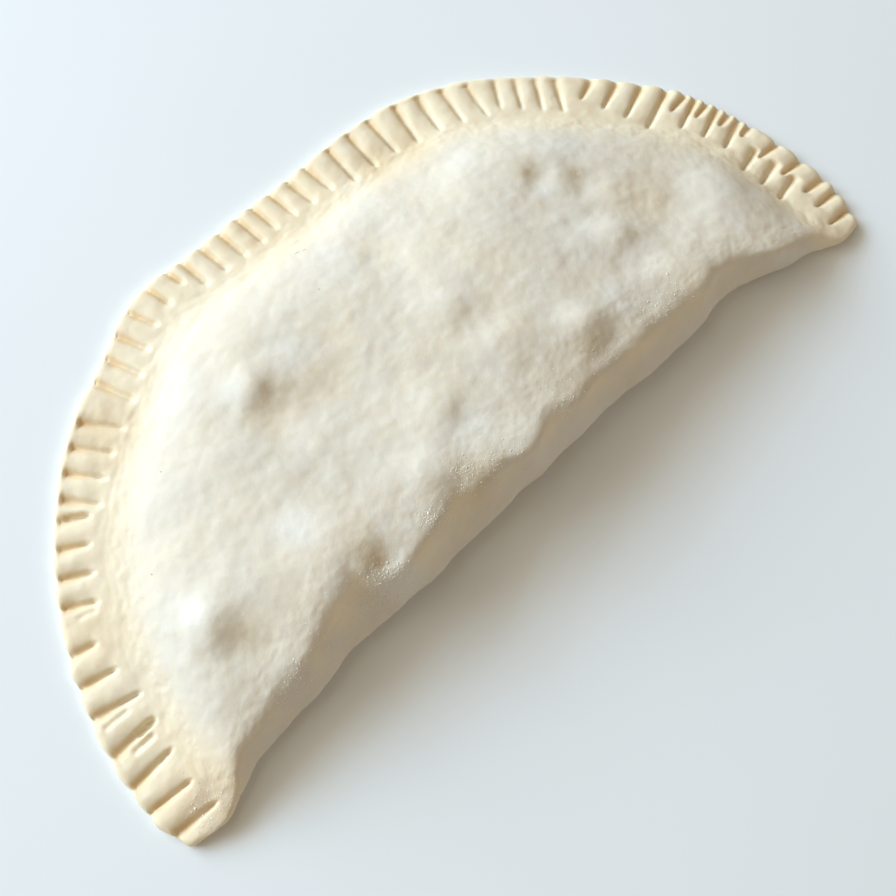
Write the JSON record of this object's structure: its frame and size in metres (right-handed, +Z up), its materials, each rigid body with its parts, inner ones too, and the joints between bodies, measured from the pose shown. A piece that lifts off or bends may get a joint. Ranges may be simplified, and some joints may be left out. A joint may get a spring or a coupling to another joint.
{
  "type": "cheburek",
  "caption": "Raw half-moon pie of folded dough with a rounded fold, a low lumpy dome of filling and a flat rim pressed shut with a fork.",
  "frame": {"origin": "middle of the pie's footprint, on the surface that it lies on", "axes": "+X along the fold from tip to tip, +Y from the fold to the crimped arc, +Z up"},
  "size_m": [0.2154, 0.1024, 0.02],
  "materials": {
    "dough": "matte, dusted with flour"
  },
  "bodies": {
    "root": {"cheburek": "dough"}
  },
  "joints": []
}
